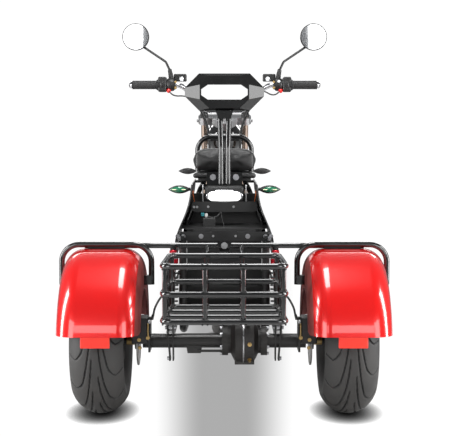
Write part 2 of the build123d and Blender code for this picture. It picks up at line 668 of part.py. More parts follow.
def make_headlamp():
    """A round bowl ahead of the fork with a lens and a bar to each clamp ear."""
    bowl = Pos(0, lamp_y, lamp_z) * Sphere(lamp_radius)
    bowl -= Pos(0, lamp_y + 20 + 100, lamp_z) * Box(400, 200, 400)
    rim_ring = extrude(Plane(origin=(0, lamp_y + 8, lamp_z), z_dir=(0, 1, 0)) * Circle(lamp_radius + 3), 16)
    lens = extrude(Plane(origin=(0, lamp_y + 24.3, lamp_z), z_dir=(0, 1, 0)) * Circle(lamp_radius - 4), 8)
    save("headlamp_lens", fillet(lens.edges().group_by(Axis.Y)[-1], 5))
    reach = stanchion_x - stanchion_radius - run_gap
    bracket = block((-reach, reach), (lamp_y - 98, lamp_y - 62), (lamp_z - 14, lamp_z + 14))
    save("headlamp", bowl + rim_ring + bracket)


def make_front_indicators():
    """Two slim lamps on arms from the lower clamp."""
    root = fork_point(stanchion_x + stanchion_radius + 1, 0, 622)
    arm = rod(tuple(root), (150, root.Y + 4, root.Z), 6)
    save("front_indicators", pair(lamp_pod(84, 14, root.Y + 4, root.Z, 164) + arm))


def make_handlebar(fork_clamps):
    """The bar: grip ends, then down and forward into the centre clamp on the fork's upper clamp."""
    seat = upper_clamp + clamp_thickness + run_gap
    middle = fork_point(0, 0, seat + 26)
    points = [(-404, bar_y, bar_z), (-180, bar_y, bar_z), (-84, middle.Y, middle.Z), (84, middle.Y, middle.Z),
              (180, bar_y, bar_z), (404, bar_y, bar_z)]
    save("handlebar", tube(points, bar_radius, [60, 40, 40, 60]))
    clamp = fork_frame(0, 0, seat) * Box(48, 42, 48, align=(Align.CENTER, Align.CENTER, Align.MIN))
    clamp = fillet(clamp.edges(), 5)
    clamp -= rod((-30, middle.Y, middle.Z), (30, middle.Y, middle.Z), bar_radius + run_gap)
    save("fork_clamps", Compound([fork_clamps, clamp]))


def make_grips():
    """Rubber grips over the bar ends, with round end plugs left to the bar."""
    grip = disc(grip_inner, grip_outer, grip_radius, bar_y, bar_z)
    grip += disc(grip_inner, grip_inner + 5, grip_radius + 5, bar_y, bar_z)
    grip -= disc(grip_inner - 5, grip_outer + 5, bar_radius + run_gap, bar_y, bar_z)
    save("grips", pair(grip))


def make_switches():
    """Switch housings inboard of the grips, and lever brackets with their reservoirs and levers."""
    body = block((246, 282), (bar_y - 26, bar_y + 24), (1140, 1204), 7)
    body -= disc(200, 300, bar_radius + run_gap, bar_y, bar_z)
    save("switch_housings", pair(body))
    perch = block((205, 238), (bar_y - 18, bar_y + 34), (1152, 1188), 6)
    perch -= disc(180, 260, bar_radius + run_gap, bar_y, bar_z)
    perch += block((163, 217), (bar_y + 20, bar_y + 62), (1186, 1218), 5)
    lever = tube([(228, bar_y + 28, 1168), (290, bar_y + 72, 1164), (398, bar_y + 78, 1160)], 6, 40)
    save("brake_levers", pair(perch + lever))


def make_mirrors():
    """Round mirrors on bent stems that rise from boots on the lever brackets."""
    foot = (226, bar_y + 8, 1190)
    stem = tube([foot, (233, bar_y + 8, 1232), (250, bar_y + 12, 1268), (mirror_x - 30, bar_y + 38, mirror_z - 40)],
                5, [60, 20])
    stem += rod(foot, (233, bar_y + 8, 1232), 9)
    face = Plane(origin=(mirror_x, bar_y + 22, mirror_z), z_dir=(0, -1, 0.05))
    shell = face * (Cylinder(mirror_radius, 14, align=(Align.CENTER, Align.CENTER, Align.MAX)))
    shell = fillet(shell.edges().group_by(Axis.Y)[-1], 6)
    stem += rod((mirror_x - 32, bar_y + 38, mirror_z - 42), (mirror_x - 18, bar_y + 40, mirror_z - 22), 6)
    save("mirrors", pair(stem + shell))
    glass = face * Pos(0, 0, 0.3) * Cylinder(mirror_radius - 4, 2, align=(Align.CENTER, Align.CENTER, Align.MIN))
    save("mirror_glass", pair(glass))


# ---- write every piece ----------------------------------------------------------------------------
make_rear_wheels()
make_front_wheel()
make_rear_axle()
make_calipers()
make_shocks()
make_main_frame()
make_deck()
make_battery_box()
make_side_panels()
make_tail()
make_rear_indicators()
make_fenders()
make_reflectors()
make_guards()
make_basket()
make_seat()
make_backrest()
fork_clamps = make_fork()
make_front_fender()
make_headlamp()
make_front_indicators()
make_handlebar(fork_clamps)
make_grips()
make_switches()
make_mirrors()
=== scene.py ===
import math
import bmesh
import bpy
import numpy as np
from mathutils import Matrix, Vector


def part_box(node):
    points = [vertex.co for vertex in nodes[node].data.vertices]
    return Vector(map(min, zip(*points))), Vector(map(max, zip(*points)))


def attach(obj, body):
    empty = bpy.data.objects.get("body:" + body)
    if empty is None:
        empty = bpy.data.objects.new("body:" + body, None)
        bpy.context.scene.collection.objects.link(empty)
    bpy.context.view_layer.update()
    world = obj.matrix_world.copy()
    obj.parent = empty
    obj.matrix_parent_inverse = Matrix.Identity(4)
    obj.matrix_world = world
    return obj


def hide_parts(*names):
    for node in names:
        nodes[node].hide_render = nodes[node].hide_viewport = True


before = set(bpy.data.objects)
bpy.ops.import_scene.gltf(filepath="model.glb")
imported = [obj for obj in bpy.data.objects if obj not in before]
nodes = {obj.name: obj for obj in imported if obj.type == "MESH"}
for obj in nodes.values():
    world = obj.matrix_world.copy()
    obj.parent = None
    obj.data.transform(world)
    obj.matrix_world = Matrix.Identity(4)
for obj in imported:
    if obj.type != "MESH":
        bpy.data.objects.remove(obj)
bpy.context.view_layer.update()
both_sides = ((-1, "left"), (1, "right"))
rearward = (0, -1, 0)

# ---- studio ------------------------------------------------------------------
# A white room. Tall soft boxes and pale walls beside the scooter draw the long lines on its tubes
# and fenders, one light stands over it and one ahead of it, and two small ones are for the mirrors.


def put(name, data):
    """A new object in the scene."""
    made = bpy.data.objects.new(name, data)
    bpy.context.collection.objects.link(made)
    return made


camera = put("camera", bpy.data.cameras.new("camera"))
camera.data.lens = 89.0
camera.location = (0.007, -4.505, 1.000)
camera.rotation_euler = (math.radians(85.3), 0, math.radians(-0.11))
bpy.context.scene.camera = camera
bpy.context.scene.view_settings.view_transform = "Standard"


def soft_box(name, place, aim, width, height, power):
    """One rectangular studio light turned towards a point."""
    light = bpy.data.lights.new(name, "AREA")
    light.shape = "RECTANGLE"
    light.size, light.size_y, light.energy = width, height, power
    lamp = put(name, light)
    lamp.location = place
    lamp.rotation_euler = (Vector(aim) - Vector(place)).to_track_quat("-Z", "Y").to_euler()


soft_box("left_box", (-2.6, -1.0, 1.3), (0, -0.3, 0.6), 0.6, 2.4, 80)
soft_box("right_box", (2.6, -1.0, 1.3), (0, -0.3, 0.6), 0.6, 2.4, 80)
soft_box("left_wall", (-2.1, -4.0, 1.5), (-0.4, -0.3, 0.4), 1.7, 1.9, 48)
soft_box("right_wall", (2.1, -4.0, 1.5), (0.4, -0.3, 0.4), 1.7, 1.9, 48)
soft_box("left_glint", (-1.10, -5.5, 2.45), (-0.38, 0.3, 1.37), 0.62, 0.8, 6)
soft_box("right_glint", (1.10, -5.5, 2.45), (0.38, 0.3, 1.37), 0.62, 0.8, 6)
soft_box("top_box", (0, -0.5, 3.4), (0, -0.3, 0.5), 0.9, 1.8, 60)
soft_box("front_box", (0, 3.8, 2.3), (0, 0, 0.7), 5.0, 1.3, 110)


def feed(tree, made, values):
    """Links or sets a node's inputs."""
    for name, value in values.items():
        if isinstance(value, bpy.types.NodeSocket):
            tree.links.new(value, made.inputs[name])
        else:
            made.inputs[name].default_value = value


def step(tree, kind, values=(), **settings):
    """One node with its settings, and its inputs linked or set."""
    made = tree.nodes.new(kind)
    for name, value in settings.items():
        setattr(made, name, value)
    feed(tree, made, dict(values))
    return made


def calc(tree, operation, *values):
    """The result of one math node."""
    return step(tree, "ShaderNodeMath", dict(enumerate(values)), operation=operation).outputs["Value"]


def remap(tree, value, *ends, **settings):
    """A value carried from one range to another: its two ends, then the new ones if not 0 and 1."""
    ranges = dict(zip(("From Min", "From Max", "To Min", "To Max"), ends))
    return step(tree, "ShaderNodeMapRange", {"Value": value, **ranges}, **settings).outputs["Result"]


def split(tree, vector):
    """The three parts of a vector, by letter."""
    return step(tree, "ShaderNodeSeparateXYZ", {0: vector}).outputs


def for_camera(tree, others, seen, end):
    """Ends a tree: one shader for the camera's rays, and one for all others."""
    ray = step(tree, "ShaderNodeLightPath").outputs["Is Camera Ray"]
    mix = step(tree, "ShaderNodeMixShader", {0: ray, 1: others, 2: seen})
    tree.links.new(mix.outputs[0], tree.nodes[end].inputs["Surface"])


# The floor glows white for the camera, with a soft grey shade in the middle and a dark contact
# shadow where the tyres stand, and lights the underside of the scooter only a little.
white_light = 1.05
wedge_tip = 4.5
floor_mesh = bpy.data.meshes.new("floor")
floor_mesh.from_pydata([(-40, -40, 0), (40, -40, 0), (40, 40, 0), (-40, 40, 0)], [], [(0, 1, 2, 3)])
floor = put("floor", floor_mesh)
floor_paint = bpy.data.materials.new("floor_paint")
floor_paint.use_nodes = True
floor_mesh.materials.append(floor_paint)
paint = floor_paint.node_tree
dull = paint.nodes["Principled BSDF"]
feed(paint, dull, {"Base Color": (0.55, 0.55, 0.55, 1), "Roughness": 0.6})
spot = split(paint, step(paint, "ShaderNodeTexCoord").outputs["Object"])
share = calc(paint, "DIVIDE", calc(paint, "ABSOLUTE", spot["X"]), calc(paint, "ADD", spot["Y"], wedge_tip))
band = remap(paint, share, 0.018, 0.070, 0.40, 1.0, interpolation_type="SMOOTHSTEP")
shade = calc(paint, "MAXIMUM", band, remap(paint, spot["Y"], 0.3, 3.5))
touch = step(paint, "ShaderNodeAmbientOcclusion", {"Distance": 0.065}, samples=12)
glow = calc(paint, "MULTIPLY", shade, calc(paint, "POWER", touch.outputs["AO"], 2.2))
lit = step(paint, "ShaderNodeEmission", {"Strength": calc(paint, "MULTIPLY", glow, white_light)})
for_camera(paint, dull.outputs[0], lit.outputs[0], "Material Output")

world = bpy.data.worlds.new("room")
bpy.context.scene.world = world
world.use_nodes = True
room = world.node_tree
bright = room.nodes["Background"]
feed(room, bright, {"Color": (1, 1, 1, 1), "Strength": white_light})
dim = step(room, "ShaderNodeBackground", {"Color": (0.95, 0.97, 1, 1), "Strength": 0.22})
for_camera(room, dim.outputs[0], bright.outputs[0], "World Output")

# ---- rear tyres --------------------------------------------------------------
# Fat, round-crowned road tyres of black rubber, with hooked grooves that run out and back from
# the middle of the tread. The grooves are pressed into one closed skin, and their bottoms carry a painted shade.
rear_low, rear_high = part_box("rear_tyre_right")
axle_y, axle_z = (rear_low.y + rear_high.y) / 2, (rear_low.z + rear_high.z) / 2
rear_radius, rear_half = axle_z, (rear_high.x - rear_low.x) / 2
rear_wheel_x = (rear_low.x + rear_high.x) / 2
rear_bead, front_bead = 0.132, 0.152


def at(x, ahead, up):
    """A place in millimetres: across, ahead of the rear axle, and above the ground."""
    return Vector((x / 1000, axle_y + ahead / 1000, up / 1000))


def socket(group, name, kind, value=None, out=False):
    """One named socket on a node group."""
    made = group.interface.new_socket(name, in_out="OUTPUT" if out else "INPUT",
                                      socket_type="NodeSocket" + kind)
    if value is not None:
        made.default_value = value


def grain_group():
    """Fine grain: a height for bumps and a soft blotchy mask, both from object coordinates."""
    group = bpy.data.node_groups.new("fine_grain", "ShaderNodeTree")
    socket(group, "Scale", "Float", 900.0)
    socket(group, "Blotch Scale", "Float", 9.0)
    socket(group, "Height", "Float", out=True)
    socket(group, "Blotch", "Float", out=True)
    given, result = group.nodes.new("NodeGroupInput"), group.nodes.new("NodeGroupOutput")
    place = step(group, "ShaderNodeTexCoord").outputs["Object"]
    fine, wide = (step(group, "ShaderNodeTexNoise", {"Vector": place, "Scale": given.outputs[scale],
                                                     "Detail": detail})
                  for scale, detail in (("Scale", 3.0), ("Blotch Scale", 4.0)))
    feed(group, result, {"Height": fine.outputs["Fac"], "Blotch": remap(group, wide.outputs["Fac"], 0.35, 0.65)})
    return group


def dust_group():
    """Road dust that thickens towards the ground: a mask broken up by noise."""
    group = bpy.data.node_groups.new("road_dust", "ShaderNodeTree")
    socket(group, "Top", "Float", 0.5)
    socket(group, "Dust", "Float", out=True)
    given, result = group.nodes.new("NodeGroupInput"), group.nodes.new("NodeGroupOutput")
    place = step(group, "ShaderNodeTexCoord").outputs["Object"]
    fade = remap(group, split(group, place)["Z"], given.outputs["Top"], 0.0)
    cloud = step(group, "ShaderNodeTexNoise", {"Vector": place, "Scale": 14.0, "Detail": 5.0})
    feed(group, result, {"Dust": calc(group, "MULTIPLY", fade, cloud.outputs["Fac"])})
    return group


fine_grain, road_dust = grain_group(), dust_group()


def rgba(colour):
    """A colour from three numbers, or from one for a grey."""
    return (*(colour if isinstance(colour, tuple) else (colour,) * 3), 1)


def blend(tree, factor, first, second):
    """A mix of two colours."""
    return step(tree, "ShaderNodeMix", {"Factor": factor, 6: first, 7: second}, data_type="RGBA").outputs[2]


def finish(name, colour, second, rough, rough_span=0.1, grain=900.0, depth=0.0002, blotch=9.0,
           dust=0.0, dust_top=0.5, metal=0.0, coat=0.0, coat_rough=0.05, bump=0.4):
    """A painted, moulded or metal finish: two close tones, uneven gloss, grain and road dust.

    Coordinates are the object's own, so grain and blotches are counted per metre.
    """
    made = bpy.data.materials.new(name)
    made.use_nodes = True
    tree = made.node_tree
    texture = step(tree, "ShaderNodeGroup", {"Scale": grain, "Blotch Scale": blotch}, node_tree=fine_grain)
    shade = blend(tree, texture.outputs["Blotch"], rgba(colour), rgba(second))
    if dust:
        dirt = step(tree, "ShaderNodeGroup", {"Top": dust_top}, node_tree=road_dust)
        amount = calc(tree, "MULTIPLY", dirt.outputs["Dust"], dust)
        shade = blend(tree, amount, shade, (0.10, 0.085, 0.07, 1))
    gloss = remap(tree, texture.outputs["Blotch"], 0, 1, rough, rough + rough_span)
    relief = step(tree, "ShaderNodeBump", {"Height": texture.outputs["Height"], "Distance": depth,
                                           "Strength": bump})
    feed(tree, tree.nodes["Principled BSDF"], {
        "Metallic": metal, "Coat Weight": coat, "Coat Roughness": coat_rough, "Base Color": shade,
        "Roughness": gloss, "Normal": relief.outputs["Normal"]})
    return made


def recolour(material, mask, colour):
    """Lays a colour over a finish where a mask is one, such as the painted shade in the bottoms of grooves."""
    base = material.node_tree.nodes["Principled BSDF"].inputs["Base Color"]
    mixed = blend(material.node_tree, mask, base.links[0].from_socket, rgba(colour))
    material.node_tree.links.new(mixed, base)


tyre_rubber = finish("tyre_rubber", 0.030, (0.042, 0.041, 0.040), 0.52, 0.14, grain=700, depth=0.0004,
                     dust=0.35, dust_top=0.34)
# The bottoms of the grooves are painted near black: a painted shade in the recesses, on top of the real cut.
groove_shade = step(tyre_rubber.node_tree, "ShaderNodeAttribute", attribute_name="groove_shade")
recolour(tyre_rubber, groove_shade.outputs["Fac"], 0.004)


def smoothed(mesh, angle):
    """Shades a mesh smooth up to an angle in degrees."""
    mesh.shade_smooth()
    mesh.set_sharp_from_angle(angle=math.radians(angle))


def piece(name, mesh, body, material, smooth=30):
    """A finished mesh as an object that rides on a body."""
    mesh.materials.append(material)
    smoothed(mesh, smooth)
    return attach(put(name, mesh), body)


def turn_outward(mesh):
    """Turns a closed mesh's faces outwards, told by its signed volume."""
    volume = 0.0
    for face in mesh.polygons:
        corners = [mesh.vertices[i].co for i in face.vertices]
        for b, c in zip(corners[1:], corners[2:]):
            volume += corners[0].dot(b.cross(c))
    if volume < 0:
        mesh.flip_normals()


def arc(first, through, last, count):
    """Points on the circle arc through three points of a section."""
    (ax, ay), (bx, by), (cx, cy) = first, through, last
    d = 2 * (ax * (by - cy) + bx * (cy - ay) + cx * (ay - by))
    a, b, c = ax**2 + ay**2, bx**2 + by**2, cx**2 + cy**2
    ux = (a * (by - cy) + b * (cy - ay) + c * (ay - by)) / d
    uy = (a * (cx - bx) + b * (ax - cx) + c * (bx - ax)) / d
    radius = math.hypot(ax - ux, ay - uy)
    start, _, end = (math.atan2(y - uy, x - ux) for x, y in (first, through, last))
    sweep = (end - start + math.pi) % (2 * math.pi) - math.pi
    turns = [start + sweep * i / count for i in range(count + 1)]
    return [(ux + radius * math.cos(turn), uy + radius * math.sin(turn)) for turn in turns]


def tread_skin(name, centre, radius, half, bead, grooves, around, body):
    """A closed tyre skin on a grid, with hooked grooves pressed into the tread."""
    shoulder = bead + 0.5 * (radius - bead)
    side = arc((0.72 * half, bead), (0.94 * half, (shoulder + bead) / 2), (half, shoulder), 14)
    section = [(-x, r) for x, r in side] + arc((-half, shoulder), (0, radius), (half, shoulder), 84)[1:-1]
    section += [(x, r) for x, r in reversed(side)]
    section += [(0.60 * half, bead - 0.0003), (-0.60 * half, bead - 0.0003)]
    across, out = np.array(section).T
    turn = np.arange(around) / around * 2 * math.pi
    angle, lateral = np.meshgrid(turn, across, indexing="ij")
    reach = np.tile(out, (around, 1))
    # Each groove follows one path: how far it has turned at each distance from the middle.
    size = half / 0.091
    path_x = np.array([0.006, 0.0105, 0.0146, 0.021, 0.030, 0.043, 0.058, 0.066, 0.078, 0.092]) * size
    path_a = np.radians([-3.0, 0.0, 9.5, 21.0, 34.0, 47.5, 53.0, 54.5, 53.0, 49.0])
    pitch = 2 * math.pi / grooves
    from_middle = np.abs(lateral)
    target = np.interp(from_middle, path_x, path_a)
    slope = np.interp(from_middle, (path_x[1:] + path_x[:-1]) / 2, np.diff(path_a) / np.diff(path_x))
    shift = np.where(lateral < 0, pitch / 2, 0.0)
    off = (angle - target - shift + pitch / 2) % pitch - pitch / 2
    gap = np.abs(off) * reach / np.sqrt(1 + (slope * reach) ** 2)
    width, depth = 0.0021 * size, 0.0042
    cut = np.clip((width * 1.55 - gap) / (width * 0.9), 0, 1)
    cut = cut * cut * (3 - 2 * cut)
    cut *= np.clip((from_middle - 0.0075 * size) / 0.003, 0, 1)
    cut *= np.clip((0.089 * size - from_middle) / 0.003, 0, 1)
    cut *= reach > shoulder - 0.004
    fine_rib = 0.0006 * np.clip(np.cos((reach - bead) / (radius - bead) * 58), 0, 1)
    fine_rib *= (reach < shoulder - 0.006) * (reach > bead + 0.008)
    reach = reach - depth * cut + fine_rib
    points = np.stack([centre.x + lateral, centre.y - reach * np.sin(angle),
                       centre.z + reach * np.cos(angle)], -1)
    rows, columns = points.shape[:2]
    index = np.arange(rows * columns).reshape(rows, columns)
    nxt, side_next = np.roll(index, -1, 0), np.roll(index, -1, 1)
    faces = np.stack([index, side_next, np.roll(nxt, -1, 1), nxt], -1).reshape(-1, 4)
    mesh = bpy.data.meshes.new(name)
    mesh.from_pydata(points.reshape(-1, 3).tolist(), [], faces.tolist())
    # The groove mask is kept on the skin to place the painted shade in the groove bottoms.
    mesh.attributes.new("groove_shade", "FLOAT", "POINT").data.foreach_set("value", cut.ravel().astype(float))
    turn_outward(mesh)
    made = piece(name, mesh, body, tyre_rubber, smooth=50)
    return made


for sign, side in both_sides:
    middle = Vector((sign * rear_wheel_x, axle_y, axle_z))
    skin = tread_skin(f"treaded_tyre_{side}", middle, rear_radius, rear_half, rear_bead, 13, 624,
                      f"rear_wheel_{side}")
    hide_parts(f"rear_tyre_{side}")

# ---- front tyre --------------------------------------------------------------
# The narrower front tyre, moulded from the same rubber with the same hooked tread. It stands on
# the middle line and turns with the front wheel.
front_low, front_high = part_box("front_tyre")
front_radius = front_high.z / 2
front_middle = Vector((0, (front_low.y + front_high.y) / 2, front_radius))
skin = tread_skin("treaded_front_tyre", front_middle, front_radius, front_high.x, front_bead, 13, 560,
                  "front_wheel")
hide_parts("front_tyre")

# ---- rear and front wheels ---------------------------------------------------
# Pressed steel wheels in black enamel. Five nuts hold each rear one, which has a brass valve. Bolts
# and nuts everywhere come from one tree: a hexagon head on a round washer at each place.
black_enamel = finish("black_enamel", 0.006, 0.010, 0.30, 0.15, grain=420, dust=0.3, dust_top=0.4,
                      coat=0.4, coat_rough=0.2)
bolt_steel = finish("bolt_steel", (0.55, 0.55, 0.56), (0.42, 0.42, 0.44), 0.24, 0.16, grain=1500, metal=1.0)
brass = finish("brass", (0.60, 0.42, 0.18), (0.42, 0.29, 0.12), 0.30, 0.18, grain=1500, metal=1.0)


def tree_for(name, *inputs):
    """An empty geometry tree with named inputs for its sizes."""
    tree = bpy.data.node_groups.new(name, "GeometryNodeTree")
    socket(tree, "Geometry", "Geometry")
    for label, kind, value in inputs:
        socket(tree, label, kind, value)
    socket(tree, "Material", "Material")
    socket(tree, "Geometry", "Geometry", out=True)
    return tree, tree.nodes.new("NodeGroupInput").outputs


def close_tree(tree, given, shape, **turn):
    """Ends a tree: a shape on every point, made real and given its material."""
    placed = step(tree, "GeometryNodeInstanceOnPoints", {"Points": given["Geometry"], "Instance": shape, **turn})
    real = step(tree, "GeometryNodeRealizeInstances", {"Geometry": placed.outputs["Instances"]})
    painted = step(tree, "GeometryNodeSetMaterial", {"Geometry": real.outputs["Geometry"],
                                                     "Material": given["Material"]})
    step(tree, "NodeGroupOutput", {"Geometry": painted.outputs["Geometry"]})
    return tree


def bolt_tree():
    """A bolt head with its washer on every point, turned to the point's aim."""
    tree, given = tree_for("bolt_heads", ("Radius", "Float", 0.005), ("Height", "Float", 0.004),
                           ("Sides", "Int", 6))
    radius, height = given["Radius"], given["Height"]
    wide, thin, half = (calc(tree, "MULTIPLY", size, share)
                        for size, share in ((radius, 1.45), (height, 0.35), (height, 0.5)))
    head = step(tree, "GeometryNodeMeshCylinder", {"Vertices": given["Sides"], "Radius": radius, "Depth": height})
    washer = step(tree, "GeometryNodeMeshCylinder", {"Vertices": 24, "Radius": wide, "Depth": thin})
    raised = step(tree, "ShaderNodeCombineXYZ", {"Z": half})
    set_up = step(tree, "GeometryNodeTransform", {"Geometry": head.outputs["Mesh"],
                                                  "Translation": raised.outputs["Vector"]})
    both = step(tree, "GeometryNodeJoinGeometry", {"Geometry": washer.outputs["Mesh"]})
    feed(tree, both, {"Geometry": set_up.outputs["Geometry"]})
    aim = step(tree, "GeometryNodeInputNamedAttribute", {"Name": "aim"}, data_type="FLOAT_VECTOR")
    turn = step(tree, "FunctionNodeAlignRotationToVector", {"Vector": aim.outputs["Attribute"]}, axis="Z")
    return close_tree(tree, given, both.outputs["Geometry"], Rotation=turn.outputs["Rotation"])


def evaluated(made):
    """A plain mesh of an object with its modifiers applied."""
    return bpy.data.meshes.new_from_object(made.evaluated_get(bpy.context.evaluated_depsgraph_get()))


def grow(name, tree, settings, places, aims=(), body="chassis", smooth=30):
    """Runs a geometry tree on a set of aimed points and keeps the result as a plain mesh."""
    seed = bpy.data.meshes.new(name)
    seed.from_pydata([tuple(p) for p in places], [], [])
    if len(aims):
        seed.attributes.new("aim", "FLOAT_VECTOR", "POINT").data.foreach_set(
            "vector", np.array([tuple(a) for a in aims], float).ravel())
    made = put(name, seed)
    modifier = made.modifiers.new("tree", "NODES")
    modifier.node_group = tree
    names = {s.name: s.identifier for s in tree.interface.items_tree if s.in_out == "INPUT"}
    for label, value in settings.items():
        modifier[names[label]] = value
    solid = evaluated(made)
    made.modifiers.clear()
    made.data = solid
    solid.name = name
    smoothed(solid, smooth)
    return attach(made, body)


bolt_heads = bolt_tree()


def bolts(name, places, aims, radius, height, material=bolt_steel, sides=6, body="chassis"):
    """Bolt heads at places in metres, each with its aim or all with one; sizes in millimetres."""
    settings = {"Radius": radius / 1000, "Height": height / 1000, "Sides": sides, "Material": material}
    each = [aims] * len(places) if isinstance(aims, tuple) else aims
    grow(name, bolt_heads, settings, places, each, body)


def dress(material, *names):
    """Gives kept CAD nodes their finish."""
    for name in names:
        nodes[name].data.materials.clear()
        nodes[name].data.materials.append(material)


dress(black_enamel, "rear_wheel_left", "rear_wheel_right", "front_wheel")
nut_ring = 0.062
for sign, side in both_sides:
    ring = [Vector((sign * (rear_wheel_x + 0.009), axle_y + nut_ring * math.sin(a), axle_z + nut_ring * math.cos(a)))
            for a in np.arange(5) * 2 * math.pi / 5]
    bolts(f"wheel_nuts_{side}", ring, (sign, 0, 0), 9, 12, body=f"rear_wheel_{side}")
    valve = Vector((sign * (rear_wheel_x + 0.040), axle_y, axle_z + 0.112))
    bolts(f"valve_{side}", [valve], (sign, 0, -0.4), 3.5, 26, brass, 12, f"rear_wheel_{side}")

# ---- brake discs -------------------------------------------------------------
# Ground steel discs. Each rear one is cut from flat plate with rings of drilled holes, and sits on
# a dark carrier.
disc_steel = finish("disc_steel", (0.33, 0.32, 0.31), (0.24, 0.23, 0.22), 0.28, 0.2, grain=2400, metal=1.0,
                    blotch=24, dust=0.25, dust_top=0.4)


def circle(radius, count, start=0.0):
    """Points round a circle."""
    return [(radius * math.cos(start + a), radius * math.sin(start + a))
            for a in np.arange(count) * 2 * math.pi / count]


def sealed(mesh, close=False):
    """Joins doubled corners, closes open ends if asked, and turns the faces outwards."""
    work = bmesh.new()
    work.from_mesh(mesh)
    bmesh.ops.remove_doubles(work, verts=work.verts, dist=1e-6)
    open_edges = [e for e in work.edges if e.is_boundary]
    if close and open_edges:
        bmesh.ops.contextual_create(work, geom=open_edges)
    bmesh.ops.recalc_face_normals(work, faces=work.faces)
    work.to_mesh(mesh)
    work.free()


def drawn_mesh(name, curve):
    """The mesh of a drawn curve."""
    holder = bpy.data.objects.new(name + "_drawn", curve)
    mesh = bpy.data.meshes.new_from_object(holder)
    bpy.data.objects.remove(holder)
    return mesh


def plate(name, outline, thickness, place, material, round_edge=0.0, holes=(), body="chassis"):
    """Flat plate cut to an outline with round holes, set in place by a matrix."""
    drawn = bpy.data.curves.new(name, "CURVE")
    drawn.dimensions = "2D"
    drawn.fill_mode = "BOTH"
    drawn.extrude = thickness / 2 - round_edge
    drawn.bevel_depth = round_edge
    drawn.bevel_resolution = 2
    rims = [[(x + a, y + b) for a, b in circle(r, n)] for x, y, r, n in holes]
    for loop in [outline, *rims]:
        spline = drawn.splines.new("POLY")
        spline.points.add(len(loop) - 1)
        spline.use_cyclic_u = True
        for point, (x, y) in zip(spline.points, loop):
            point.co = (x, y, 0, 1)
    mesh = drawn_mesh(name, drawn)
    mesh.transform(place)
    sealed(mesh)
    return piece(name, mesh, body, material)


disc_x, disc_radius, disc_thickness, drill_radius = 0.299, 0.085, 0.005, 0.003
drilled = [(x, y, drill_radius, 14) for k, ring_radius in enumerate((0.060, 0.069, 0.078))
           for x, y in circle(ring_radius, 24, k * math.pi / 24)]
for sign, side in both_sides:
    on_hub = Matrix.Translation((sign * disc_x, axle_y, axle_z)) @ Matrix.Rotation(math.pi / 2, 4, "Y")
    rotor = plate(f"drilled_disc_{side}", circle(disc_radius, 96), disc_thickness, on_hub, disc_steel, 0.0004,
                  drilled, f"rear_wheel_{side}")
    dress(black_enamel, f"rear_disc_{side}")
dress(disc_steel, "front_disc")

# ---- rear axle, gear housing and brakes --------------------------------------
# A black axle tube with trailing arms. The drive goes through a cast housing of two halves bolted
# together at end flanges, with a seam down the middle and brass filler and drain plugs. Each rear
# brake has a cast caliper with brass pins, fed by a hose.
frame_black = finish("frame_black", 0.006, 0.012, 0.36, 0.16, grain=520, depth=0.0003, dust=0.25, dust_top=0.45,
                     coat=0.15, coat_rough=0.25)
cast_black = finish("cast_black", (0.010, 0.009, 0.009), (0.018, 0.017, 0.016), 0.46, 0.16, grain=260,
                    depth=0.0008, dust=0.35, dust_top=0.4)
alloy = finish("alloy", 0.62, (0.52, 0.52, 0.53), 0.24, 0.14, grain=1300, metal=1.0, depth=0.0001)
hose_rubber = finish("hose_rubber", 0.010, 0.018, 0.38, 0.12)
dress(frame_black, "rear_axle", "drive_motor")
dress(cast_black, "gear_housing", "calipers")
gear_low, gear_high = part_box("gear_housing")
gear_x = (gear_low.x + gear_high.x) / 2
flange_bolts = 0.044
for x, (sign, side) in zip((gear_low.x, gear_high.x), both_sides):
    ring = [Vector((x, axle_y + flange_bolts * math.sin(a), axle_z + flange_bolts * math.cos(a)))
            for a in np.radians(np.arange(-50, 310, 60))]
    bolts(f"housing_bolts_{side}", ring, (sign, 0, 0), 5, 7)
plug_x = gear_x * 1000 + 17
bolts("housing_plugs", [at(plug_x, -74, 250), at(plug_x, -50, 193), at(plug_x - 5, -50, 322)],
      [rearward, (0, -0.7, -0.7), (0, -0.5, 0.8)], 5, 9, brass)


def turned(name, profile, place, material, body="chassis", count=48):
    """A closed round piece spun about its own Z axis, set by a matrix; radii and heights in millimetres."""
    rings, mesh = len(profile), bpy.data.meshes.new(name)
    spun = [(r / 1000 * math.cos(a), r / 1000 * math.sin(a), z / 1000)
            for a in np.arange(count) * 2 * math.pi / count for r, z in profile]
    starts = [(i * rings, (i + 1) % count * rings) for i in range(count)]
    faces = [(here + j, there + j, there + j + 1, here + j + 1)
             for here, there in starts for j in range(rings - 1)]
    mesh.from_pydata(spun, [], faces)
    sealed(mesh, close=True)
    mesh.transform(place)
    return piece(name, mesh, body, material)


def facing(place, aim):
    """A matrix that sets a piece's Z axis along an aim."""
    return Matrix.Translation(place) @ Vector(aim).to_track_quat("Z", "Y").to_matrix().to_4x4()


seam = turned("housing_seam", [(72, -2.2), (77.2, -2.2), (77.2, 2.2), (72, 2.2)],
              facing(Vector((gear_x - 0.004, axle_y, axle_z)), (1, 0, 0)), alloy, count=96)


def along_path(curve, kind, places):
    """A new run of a curve through places in metres."""
    path = curve.splines.new(kind)
    path.points.add(len(places) - 1)
    for knot, place in zip(path.points, places):
        knot.co = (*place, 1)
    return path


